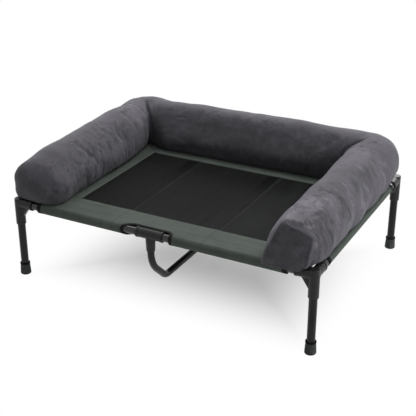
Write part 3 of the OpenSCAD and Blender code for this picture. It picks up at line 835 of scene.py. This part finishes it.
def dress(mesh):
    """Sewn and lived-in form: fullness, corner valleys, the end seam, lumps, creases, and rest on the sling."""
    co, normal = points_of(mesh), normals_of(mesh)
    run = run_of(co)
    front = -normal[:, 1]
    left, right = co[:, 0] < 0, co[:, 0] > 0
    on_arm = co[:, 1] < CREASE_Y
    inside = np.where(on_arm, -normal[:, 0] * np.sign(co[:, 0]), -normal[:, 1])
    clear = rise(co[:, 2], BOLSTER_Z + 4 * MM, BOLSTER_Z + 30 * MM)
    depth = corner_pull(co)
    depth += 1.5 * MM * end_seam(co, front)
    depth -= fullness(run, clear)
    depth -= clear * (1.2 * MM * lumps(co, 3, 9, 170 * MM) + 0.35 * MM * lumps(co, 8, 9, 60 * MM))
    arm_rear = left & on_arm & (inside > 0.3) & (co[:, 1] > -130 * MM) & (co[:, 2] > BOLSTER_Z + 30 * MM)
    depth += wrinkles(co, normal, arm_rear, 11, 18, 46 * MM, 4.2 * MM, 2.6 * MM, 80)
    corner_top = left & (np.abs(co[:, 1] - CREASE_Y) < 60 * MM) & (normal[:, 2] > 0.6)
    depth += wrinkles(co, normal, corner_top, 5, 6, 60 * MM, 4 * MM, 1.8 * MM, 15)
    arm_low = left & on_arm & (inside > 0.6) & (co[:, 2] < BOLSTER_Z + 60 * MM) & (co[:, 2] > BOLSTER_Z + 15 * MM)
    depth += wrinkles(co, normal, arm_low, 9, 7, 40 * MM, 4 * MM, 2.2 * MM, 60)
    from_end = co[:, 1] - ARM_FRONT + 6 * MM * lumps(co, 14, 5, 60 * MM)
    ridged = right * rise(normal[:, 0], 0.1, 0.6) * rise(from_end, 10 * MM, 25 * MM) * rise(from_end, 130 * MM, 60 * MM)
    depth += ridged * clear * 0.6 * MM * np.sin(from_end * 2 * math.pi / (16 * MM))
    co = spread_low(co - normal * depth[:, None], run)
    low = rise(co[:, 2], BOLSTER_Z + 45 * MM, BOLSTER_Z + 3 * MM)
    co[:, 2] -= low * (SAG + 8 * MM * open_corner(co))
    co[:, 2] = np.where(low > 0, np.maximum(co[:, 2], sling_top(co)), co[:, 2])
    put_points(mesh, co)


def round_corners(mesh):
    """Rounds the base where it sinks into the open corners, and rests it on the frame again."""
    bm = bmesh.new()
    bm.from_mesh(mesh)
    low = [vert for vert in bm.verts if vert.co.z < BOLSTER_Z + 0.5 * MM]
    near = [vert for vert in low if abs(vert.co.x) > LEG_X - 110 * MM and abs(vert.co.y) > LEG_Y - 110 * MM]
    for _ in range(4):
        bmesh.ops.smooth_vert(bm, verts=near, factor=0.5, use_axis_x=True, use_axis_y=True, use_axis_z=True)
    bm.to_mesh(mesh)
    bm.free()
    co = points_of(mesh)
    low = co[:, 2] < BOLSTER_Z + 5 * MM
    co[:, 2] = np.where(low, np.maximum(co[:, 2], sling_top(co)), co[:, 2])
    put_points(mesh, co)


def pile_way_and_painted_light(co, normal):
    """Which way the pile lies, 1 where it is dark and -1 where it is light: on the front ends and the inner faces the
    dark is partly brushed pile and partly painted shade, and the light on the right arm's front top and round the rim
    of its front end is painted highlight.
    """
    left, on_arm = co[:, 0] < 0, co[:, 1] < CREASE_Y
    inside = np.where(on_arm, -normal[:, 0] * np.sign(co[:, 0]), -normal[:, 1])
    # Painted shade on the faces turned inward, partly as pile brushed down.
    inner = np.where(on_arm, 0.55, 0.95) * rise(inside, 0.05, 0.85)
    from_end = co[:, 1] - ARM_FRONT
    near = rise(from_end, 110 * MM, 60 * MM)
    across = np.abs(co[:, 0]) - (BOLSTER_X - ARM_W / 2)
    below = 12 * MM - (0.85 * (co[:, 2] - END_MID_Z) - 0.53 * across)
    # Painted shade on the left end's front and lower face, partly as brushed pile.
    nose = near * rise(-normal[:, 1], 0.2, 0.75) * rise(below, -40 * MM, 30 * MM)
    # The right end panel's own darker pile, with painted shade on its front-facing side.
    panel = near * rise(-normal[:, 1], 0.6, 0.95) * (0.66 + 0.2 * lumps(co, 27, 9, 45 * MM))
    wavy = from_end + 9 * MM * lumps(co, 21, 5, 70 * MM)
    bands = 0.5 + 0.5 * np.sin(wavy * 2 * math.pi / (27 * MM))
    banded = 0.75 * bands * rise(normal[:, 0], 0.2, 0.6) * rise(from_end, 190 * MM, 80 * MM) * on_arm
    # Painted highlight on the top of the right arm near its front end.
    top_painted_highlight = rise(from_end, 15 * MM, 40 * MM) * rise(from_end, 200 * MM, 100 * MM) * rise(normal[:, 2], 0.2, 0.6)
    top_painted_highlight *= rise(normal[:, 0], 0.75, 0.35)
    swept = np.clip(lumps(co * (0.45, 1.0, 0.45), 41, 9, 46 * MM), -0.45, 1.2)
    swept *= 0.65 * rise(normal[:, 0], 0.05, 0.45) * rise(from_end, 60 * MM, 180 * MM) * on_arm
    # Painted highlight round the rim of the right arm's front end.
    rim = near * np.exp(-((0.55 + normal[:, 1]) / 0.13) ** 2) * rise(normal[:, 2], 0.6, 0.2)
    right = np.maximum(panel, inner) + banded + swept - 0.9 * top_painted_highlight * on_arm - 0.9 * rim
    thumbed = rise(lumps(co, 33, 12, 30 * MM), 0.75, 1.4) * rise(lumps(co, 35, 5, 190 * MM), -0.3, 0.5)
    thumbed *= rise(inside, 0.2, 0.55) * rise(from_end, 490 * MM, 430 * MM) * on_arm
    return np.where(left, np.maximum(nose, inner) + 1.3 * thumbed, right)


def add_bolster():
    mesh = stuffed_form()
    put_points(mesh, shape_ends(points_of(mesh)))
    slacken(mesh)
    swell(mesh)
    ease(mesh)
    mesh = finer(mesh)
    dress(mesh)
    round_corners(mesh)
    co, normal = points_of(mesh), normals_of(mesh)
    run = mesh.attributes.new("run", "FLOAT_VECTOR", "POINT")
    run.data.foreach_set("vector", run_of(co).ravel())
    # The velvet's pile attribute, with painted shade and painted highlights in it.
    pile_and_painted_light = mesh.attributes.new("pile_and_painted_light", "FLOAT", "POINT")
    pile_and_painted_light.data.foreach_set("value", pile_way_and_painted_light(co, normal))
    piece = add_mesh("bolster", mesh, VELVET, "bolster")
    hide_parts(*FILLS, *SKINS)


add_bolster()


# Sling
Side = namedtuple("Side", "name turn reach half width next_widths openings")
RAILS = {end: (end + "_rail_left", end + "_rail_right") for end in ("front", "back")}
RAILS.update({hand: ("side_rail_" + hand,) for hand in ("left", "right")})
SLEEVE_HANG = {"front": 1.32, "back": 1.32}
TENT = 24 * MM
SLEEVE_SEAM = 38 * MM
SEAM_LAP = 9 * MM
COLUMN = 8 * MM
HEM_RISE = SHEET_TOP - RAIL_Z
TEE_HALF = 46 * MM
TEE_TOP = 18.2 * MM
RIDE_END = 60 * MM


def corner_planes(half, end):
    """Plan planes round the cut-away corner at one end of a rail, each a point and a normal."""
    edge = end * (half - CORNER_EDGE)
    return [
        (Vector((edge, 0, 0)), Vector((-end, 0, 0))),
        (Vector((edge, CORNER_SHELF, 0)), Vector((-end, 1, 0)).normalized()),
        (Vector((0, CORNER_EDGE, 0)), Vector((0, 1, 0))),
    ]


def notch_planes(centre, depth, low_r, high_r):
    """Plan planes round the notch that leaves a tee bare, with a radius for each rounded corner."""
    planes = []
    for end, r in ((-1, low_r), (1, high_r)):
        hub = Vector((centre + end * (NOTCH_HALF - r), depth - r, 0))
        for step in range(7):
            angle = math.radians(15 * step)
            normal = Vector((end * math.cos(angle), math.sin(angle), 0))
            planes.append((hub + normal * r, normal))
    return planes


def make_side(name, turn, reach, half, width, next_widths, notch=None):
    openings = [(corner_planes(half, end), CORNER_TAPE) for end in (-1, 1)]
    if notch:
        openings.append((notch_planes(*notch), NOTCH_TAPE))
    return Side(name, turn, reach, half, width, next_widths, openings)


FRONT_W = LEG_Y + MESH_LOW.y
BACK_BORDER_W = LEG_Y - MESH_HIGH.y
SIDE_W = LEG_X - MESH_HIGH.x
SIDES = [
    make_side("front", 0, LEG_Y, LEG_X, FRONT_W, (SIDE_W, SIDE_W), (NOTCH_X, 6 * MM, 36 * MM, 14 * MM)),
    make_side("back", math.pi, LEG_Y, LEG_X, BACK_BORDER_W, (SIDE_W, SIDE_W), (-NOTCH_X, 6 * MM, 26 * MM, 26 * MM)),
    make_side("left", -math.pi / 2, LEG_X, LEG_Y, SIDE_W, (BACK_BORDER_W, FRONT_W)),
    make_side("right", math.pi / 2, LEG_X, LEG_Y, SIDE_W, (FRONT_W, BACK_BORDER_W)),
]


def mitre_plane(side, end):
    """Plan plane of the seam where a border meets the next one, facing the border's middle."""
    normal = Vector((-end * side.width, -side.next_widths[(end + 1) // 2], 0)).normalized()
    return Vector((end * side.half, 0, 0)), normal


def room(point, planes):
    """How far a point is from an opening in plan, below 0 inside it."""
    return max((point - at).dot(normal) for at, normal in planes)


def slice_along(bm, planes, offset):
    """Cuts edges into a cloth along an opening, moved out by an offset."""
    for at, normal in planes:
        near = []
        for face in bm.faces:
            centre = face.calc_center_median()
            own = (centre - at).dot(normal)
            if abs(own - offset) < 16 * MM and own > room(centre, planes) - 8 * MM:
                near.append(face)
        parts = dict.fromkeys(near)
        for face in near:
            parts.update(dict.fromkeys(face.edges))
            parts.update(dict.fromkeys(face.verts))
        bmesh.ops.bisect_plane(
            bm, geom=list(parts), dist=0.01 * MM, plane_co=at + normal * offset, plane_no=normal
        )


def drop_faces(bm, unwanted):
    gone = [face for face in bm.faces if unwanted(face.calc_center_median())]
    bmesh.ops.delete(bm, geom=gone, context="FACES")


def drawn_out(bm, vert, target, steps):
    """Draws an edge out from a vertex to a point in steps, and returns its last vertex."""
    run = bmesh.ops.spin(
        bm, geom=[vert], cent=(0, 0, 0), axis=(1, 0, 0), dvec=(target - vert.co) / steps, angle=0, steps=steps
    )
    return run["geom_last"][0]


def sleeve_cloth(side):
    """A border's cloth before it is cut: hem, top, round the rail and back up to the sleeve seam."""
    bm = bmesh.new()
    cut = bm.verts.layers.float_vector.new("cut")
    start = -side.half
    rows = max(2, round(side.width / (12 * MM)))
    hem = bm.verts.new((start, side.width, HEM_RISE))
    top = drawn_out(bm, hem, Vector((start, 0, SLEEVE_R)), rows)
    turned = bmesh.ops.spin(
        bm, geom=[top], cent=(start, 0, 0), axis=(1, 0, 0), angle=math.radians(218), steps=18
    )
    tail = turned["geom_last"][0]
    drawn_out(bm, tail, Vector((start, SLEEVE_SEAM, HEM_RISE - 1.6 * MM)), 3)
    vert = min((v for v in bm.verts if len(v.link_edges) == 1), key=lambda v: -v.co.y)
    edge, length = None, 0.0
    while True:
        vert[cut] = (0, length, 0)
        onward = [e for e in vert.link_edges if e is not edge]
        if not onward:
            break
        edge = onward[0]
        length += edge.calc_length()
        vert = edge.other_vert(vert)
    steps = round(2 * side.half / COLUMN)
    bmesh.ops.spin(
        bm, geom=bm.verts[:] + bm.edges[:], cent=(0, 0, 0), axis=(1, 0, 0),
        dvec=(2 * side.half / steps, 0, 0), angle=0, steps=steps,
    )
    for vert in bm.verts:
        vert[cut] = (vert.co.x, vert[cut][1], 0)
        if vert.co.z < 0:
            vert.co.z *= SLEEVE_HANG.get(side.name, 1.0)
    bmesh.ops.recalc_face_normals(bm, faces=bm.faces)
    top_face = max(bm.faces, key=lambda f: f.calc_center_median().z)
    if top_face.normal.z < 0:
        bmesh.ops.reverse_faces(bm, faces=bm.faces)
    for end in (-1, 1):
        at, normal = mitre_plane(side, end)
        bmesh.ops.bisect_plane(
            bm, geom=bm.verts[:] + bm.edges[:] + bm.faces[:], dist=0.01 * MM,
            plane_co=at, plane_no=normal, clear_inner=True,
        )
    in_order(bm)
    return bm


def in_place(side):
    return Matrix.Rotation(side.turn, 4, "Z") @ Matrix.Translation((0, -side.reach, RAIL_Z))


def settle(bm):
    """Lets the stretched cloth sag a little, ride over the tees and keep its folds from the box."""
    for vert in bm.verts:
        x, y, z = vert.co
        if z < RAIL_Z + 8 * MM:
            continue
        hang = max(0, 1 - (x / (LEG_X - 20 * MM)) ** 2) * max(0, 1 - (y / (LEG_Y - 20 * MM)) ** 2)
        z -= 3 * MM * hang
        for fold in FOLDS:
            away = abs(x - fold)
            inner = min(1, max(0, (LEG_Y - 12 * MM - abs(y)) / (30 * MM)))
            z += inner * 1.5 * MM * max(0, 1 - away / TENT) ** 2
            z -= inner * 1.1 * MM * max(0, 1 - away / (2.5 * MM))
        beside = max(0, abs(x - TEE_X) - TEE_HALF) / (45 * MM)
        v = LEG_Y - abs(y)
        line = RAIL_Z + TEE_TOP - 0.086 * max(0, v - 1.6 * MM)
        if beside < 1 and v < RIDE_END:
            fade = (1 - beside) ** 2 * (1 + 2 * beside)
            z += fade * max(0, line - z)
        vert.co.z = z


def area_of(bm):
    return sum(face.calc_area() for face in bm.faces)


def thicken(piece, thickness, edge=0.0):
    solid = piece.modifiers.new("thickness", "SOLIDIFY")
    solid.thickness = thickness
    solid.offset = -1
    if edge:
        round_edge = piece.modifiers.new("edge", "BEVEL")
        round_edge.width = edge
        round_edge.segments = 2
        round_edge.limit_method = "ANGLE"
        round_edge.angle_limit = math.radians(50)


def add_border(side):
    bm = sleeve_cloth(side)
    for planes, tape in side.openings:
        slice_along(bm, planes, tape / 2)
        drop_faces(bm, lambda centre: room(centre, planes) < tape / 2)
    bm.transform(in_place(side))
    for fold in FOLDS:
        for shift in (-TENT, -2.5 * MM, 0, 2.5 * MM, TENT):
            bmesh.ops.bisect_plane(
                bm, geom=bm.verts[:] + bm.edges[:] + bm.faces[:], dist=0.01 * MM,
                plane_co=(fold + shift, 0, 0), plane_no=(1, 0, 0),
            )
    settle(bm)
    area = area_of(bm)
    girth = side.width + math.radians(218) * SLEEVE_R + SLEEVE_SEAM
    length = 2 * (side.half - CORNER_EDGE)
    piece = add_piece(side.name + "_border_cloth", bm, BORDER, "frame")
    thicken(piece, CLOTH_T)
    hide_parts(side.name + "_border")


def tape_band(side, planes, tape):
    """A binding's tape on one rail, just outside the cloth that it covers."""
    bm = sleeve_cloth(side)
    slice_along(bm, planes, 0.0)
    slice_along(bm, planes, tape)
    drop_faces(bm, lambda centre: not 0 < room(centre, planes) < tape)
    bm.normal_update()
    for vert in bm.verts:
        vert.co += vert.normal * 0.5 * MM
    bm.transform(in_place(side))
    return bm


def joined(parts):
    """All parts' geometry in the first one."""
    bm = parts[0]
    for other in parts[1:]:
        mesh = bpy.data.meshes.new("part")
        other.to_mesh(mesh)
        other.free()
        bm.from_mesh(mesh)
        bpy.data.meshes.remove(mesh)
    return bm


def add_binding(name, node, bands, tape):
    bm = joined(bands)
    in_order(bm)
    bmesh.ops.remove_doubles(bm, verts=bm.verts, dist=0.8 * MM)
    settle(bm)
    area = area_of(bm)
    piece = add_piece(name, bm, TAPE, "frame")
    thicken(piece, 1.9 * MM, 0.4 * MM)
    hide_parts(node)
    area / tape


def add_bindings():
    by_name = {side.name: side for side in SIDES}
    for side in SIDES[:2]:
        planes, tape = side.openings[2]
        band = tape_band(side, planes, tape)
        add_binding(side.name + "_notch_tape", side.name + "_notch_binding", [band], tape)
    for end in ("front", "back"):
        for hand in ("left", "right"):
            bands = []
            for name, other in ((end, hand), (hand, end)):
                index = corner_index(name, other)
                planes, tape = by_name[name].openings[index]
                bands.append(tape_band(by_name[name], planes, tape))
            place = end + "_" + hand
            add_binding(place + "_corner_tape", "corner_binding_" + place, bands, tape)


def corner_index(name, other):
    """Which end of a rail, 0 or 1, is the one beside another rail."""
    high_ends = {"front": "right", "back": "left", "left": "front", "right": "back"}
    return 1 if high_ends[name] == other else 0


def add_mesh_panel():
    bm = bmesh.new()
    cut = bm.verts.layers.float_vector.new("cut")
    low, high = MESH_LOW - Vector((SEAM_LAP, SEAM_LAP, 0)), MESH_HIGH + Vector((SEAM_LAP, SEAM_LAP, 0))
    span, centre = high - low, (high + low) / 2
    place = Matrix.Translation((centre.x, centre.y, SHEET_TOP - CLOTH_T - 0.15 * MM))
    place @= Matrix.Diagonal((span.x / 2, span.y / 2, 1, 1))
    across, along = round(span.x / (7 * MM)), round(span.y / (9 * MM))
    bmesh.ops.create_grid(bm, x_segments=across, y_segments=along, size=1.0, matrix=place)
    for fold in FOLDS:
        for shift in (-TENT, -2.5 * MM, 0, 2.5 * MM, TENT):
            bmesh.ops.bisect_plane(
                bm, geom=bm.verts[:] + bm.edges[:] + bm.faces[:], dist=0.01 * MM,
                plane_co=(fold + shift, 0, 0), plane_no=(1, 0, 0),
            )
    for vert in bm.verts:
        vert[cut] = (vert.co.x, vert.co.y, 0)
    settle(bm)
    piece = add_piece("mesh_cloth", bm, MESH, "frame")
    thicken(piece, CLOTH_T * 0.8)
    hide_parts("mesh_panel")


# Stitches
STITCH = 5 * MM
STITCH_SIZE = (1.9 * MM, 0.45 * MM, 0.4 * MM)


def sew(bm, side, point, way, above):
    """Sets one stitch on the top of a border, at a plan point and along a plan direction."""
    height = SLEEVE_R + (HEM_RISE - SLEEVE_R) * point.y / side.width + above
    turn = Matrix.Rotation(math.atan2(way.y, way.x), 4, "Z")
    place = Matrix.Translation((point.x, point.y, height)) @ turn @ Matrix.Diagonal((*STITCH_SIZE, 1))
    bmesh.ops.create_uvsphere(bm, u_segments=6, v_segments=4, radius=1.0, matrix=place)


def seam_row(side, inward):
    """A straight row along a border, left out where the cloth is cut away or bound."""
    first, last = (side.half - wide * inward / side.width - 2 * MM for wide in side.next_widths)
    bm = bmesh.new()
    sew(bm, side, Vector((-first, inward, 0)), Vector((1, 0, 0)), 0.1 * MM)
    bmesh.ops.spin(
        bm, geom=bm.verts[:] + bm.edges[:] + bm.faces[:], cent=(0, 0, 0), axis=(1, 0, 0),
        dvec=(STITCH, 0, 0), angle=0, steps=int((first + last) / STITCH), use_duplicate=True,
    )

    def unwanted(centre):
        middle_x = round((centre.x + first) / STITCH) * STITCH - first
        point = Vector((middle_x, inward, 0))
        return any(room(point, planes) < tape + 2 * MM for planes, tape in side.openings)

    drop_faces(bm, unwanted)
    bm.transform(in_place(side))
    return bm


def tape_row(side, planes, offset):
    """A row round an opening, on the part of its tape that lies on top."""
    bm = bmesh.new()
    for at, normal in planes:
        way = Vector((-normal.y, normal.x, 0))
        for number in range(-20, 21):
            point = at + normal * offset + way * number * STITCH
            mitre = abs(abs(point.x) - side.half) * side.width / side.next_widths[0]
            if 3 * MM < point.y < mitre and room(point, planes) < offset + 0.1 * MM:
                sew(bm, side, point, way, 0.6 * MM)
    bm.transform(in_place(side))
    return bm


def add_stitches():
    seams, tapes = [], []
    for side in SIDES:
        for inward in (side.width - 2.5 * MM, side.width - 7 * MM, SLEEVE_SEAM - 2 * MM):
            seams.append(seam_row(side, inward))
        for planes, tape in side.openings:
            tapes.append(tape_row(side, planes, tape - 2 * MM))
    for name, rows, material in (("seam_stitches", seams, SAGE_THREAD), ("tape_stitches", tapes, BLACK_THREAD)):
        bm = joined(rows)
        settle(bm)
        add_piece(name, bm, material, "frame")


for each in SIDES:
    add_border(each)
add_bindings()
add_mesh_panel()
add_stitches()


# Frame pieces that stay as the solids are
def coat_nodes():
    for name, piece in nodes.items():
        if name.startswith("leg_") or "rail" in name or name == "brace_tube":
            finish_of_node = POWDER
        elif name.startswith("corner_") and "binding" not in name or name.endswith("_tee"):
            finish_of_node = PLASTIC
        elif name.startswith("foot_"):
            finish_of_node = RUBBER
        else:
            continue
        for slot in piece.material_slots:
            slot.material = finish_of_node


coat_nodes()

scene.view_settings.view_transform = "Standard"
